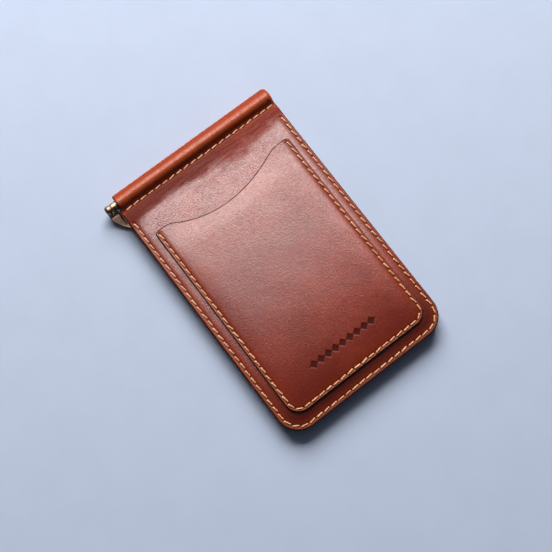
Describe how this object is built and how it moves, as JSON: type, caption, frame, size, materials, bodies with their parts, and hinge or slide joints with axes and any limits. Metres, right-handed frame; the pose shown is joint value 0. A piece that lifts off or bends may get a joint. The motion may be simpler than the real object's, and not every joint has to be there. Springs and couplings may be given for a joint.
{
  "type": "money clip",
  "caption": "Slim leather money clip: stitched card pockets on a stitched leaf, a leather-sleeved spine and a sprung metal arm that holds notes against the back.",
  "frame": {"origin": "middle of the whole object in plan, on the surface that its back lies on", "axes": "+X along the spine away from the knuckle, +Y towards the spine, +Z out of the front pocket"},
  "size_m": [0.0762, 0.1122, 0.0065],
  "materials": {
    "shell_leather": "waxed, polished brown leather",
    "pocket_leather": "waxed, polished brown leather",
    "lining_leather": "thin matt dark brown leather",
    "thread": "waxed tan linen thread",
    "plated_metal": "warm nickel plate, lightly worn",
    "barrel_steel": "plain steel",
    "bush_brass": "turned brass",
    "spring_steel": "drawn spring wire"
  },
  "bodies": {
    "wallet": {"outer_shell": "shell_leather", "inner_lining": "lining_leather", "back_panel": "shell_leather", "front_pocket": "pocket_leather", "back_pocket": "pocket_leather", "spine_thread": "thread", "edge_thread": "thread", "front_pocket_thread": "thread", "back_pocket_thread": "thread", "spine_barrel": "barrel_steel", "left_bush": "bush_brass", "right_bush": "bush_brass", "end_plug": "bush_brass", "thrust_washer": "bush_brass", "torsion_spring": "spring_steel"},
    "clip": {"clip_arm": "plated_metal", "pivot_rod": "plated_metal", "rod_collar": "plated_metal", "cross_pin": "plated_metal"}
  },
  "joints": [
    {"name": "clip_swing", "type": "hinge", "parent": "wallet", "child": "clip", "pos_m": [0, 0.05285, 0.00325], "axis": [1, 0, 0], "range_deg": [0, 110], "stiffness_Nm_per_rad": 0.02, "springref_deg": -85.94, "deforming": ["torsion_spring"]}
  ]
}
